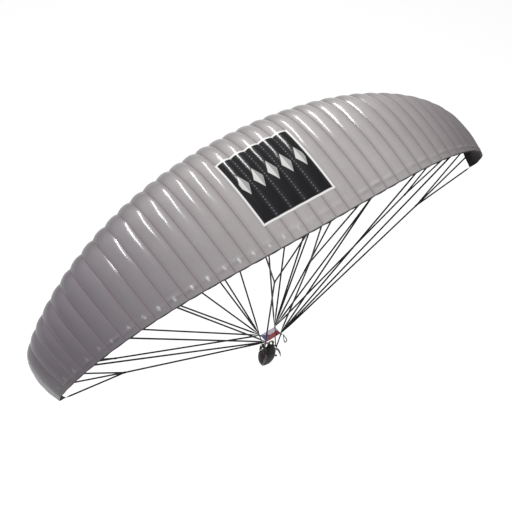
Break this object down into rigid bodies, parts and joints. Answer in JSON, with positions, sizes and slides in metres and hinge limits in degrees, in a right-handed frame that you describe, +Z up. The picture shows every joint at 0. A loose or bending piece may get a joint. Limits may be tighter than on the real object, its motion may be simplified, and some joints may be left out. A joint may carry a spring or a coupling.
{
  "type": "paraglider parachute with lines, risers and harness",
  "caption": "Ram-air canopy of ribbed cloth cells on two fans of suspension lines, with webbing risers, brake handles, a small flag and a seated harness.",
  "frame": {"origin": "highest point of the middle cell of the canopy, on the outside of the cloth", "axes": "+X towards the right wing tip, +Y forward to the leading edge, +Z up"},
  "size_m": [11.0974, 3.0256, 6.6285],
  "materials": {
    "sail_cloth": "satin ripstop nylon",
    "sail_underside": "satin ripstop nylon",
    "line_cord": "braided cord",
    "black_webbing": "woven webbing",
    "flag_cloth": "printed polyester",
    "steel": "brushed",
    "harness_cloth": "matt woven nylon",
    "pink_grey_webbing": "woven webbing",
    "seat_board": "bare plywood",
    "handle_webbing": "woven webbing",
    "black_plastic": "matt"
  },
  "bodies": {
    "root": {"brake_handle_left": "handle_webbing", "brake_handle_right": "handle_webbing", "chest_strap": "black_webbing", "flag": "flag_cloth", "harness_body": "harness_cloth", "karabiner_left": "steel", "karabiner_right": "steel", "leg_strap_left": "black_webbing", "leg_strap_right": "black_webbing", "lift_strap_left": "pink_grey_webbing", "lift_strap_right": "pink_grey_webbing", "line_a1_left": "line_cord", "line_a1_right": "line_cord", "line_a2_left": "line_cord", "line_a2_right": "line_cord", "line_a3_left": "line_cord", "line_a3_right": "line_cord", "line_a4_left": "line_cord", "line_a4_right": "line_cord", "line_a5_left": "line_cord", "line_a5_right": "line_cord", "line_a6_left": "line_cord", "line_a6_right": "line_cord", "line_b1_left": "line_cord", "line_b1_right": "line_cord", "line_brake_left": "line_cord", "line_brake_right": "line_cord", "line_c1_left": "line_cord", "line_c1_right": "line_cord", "line_c2_left": "line_cord", "line_c2_right": "line_cord", "line_c3_left": "line_cord", "line_c3_right": "line_cord", "line_c4_left": "line_cord", "line_c4_right": "line_cord", "link_front_left": "steel", "link_front_right": "steel", "link_rear_left": "steel", "link_rear_right": "steel", "lower_sail_centre": "sail_underside", "lower_sail_left": "sail_underside", "lower_sail_left_tip": "sail_underside", "lower_sail_right": "sail_underside", "lower_sail_right_tip": "sail_underside", "reserve_handle": "black_plastic", "riser_front_left": "black_webbing", "riser_front_right": "black_webbing", "riser_rear_left": "black_webbing", "riser_rear_right": "black_webbing", "seat_board": "seat_board", "shoulder_strap_left": "handle_webbing", "shoulder_strap_right": "handle_webbing", "tip_fin_left": "sail_cloth", "tip_fin_right": "sail_cloth", "upper_sail_centre": "sail_cloth", "upper_sail_left": "sail_cloth", "upper_sail_left_tip": "sail_cloth", "upper_sail_right": "sail_cloth", "upper_sail_right_tip": "sail_cloth", "webbing_tail_right": "pink_grey_webbing"}
  },
  "joints": []
}
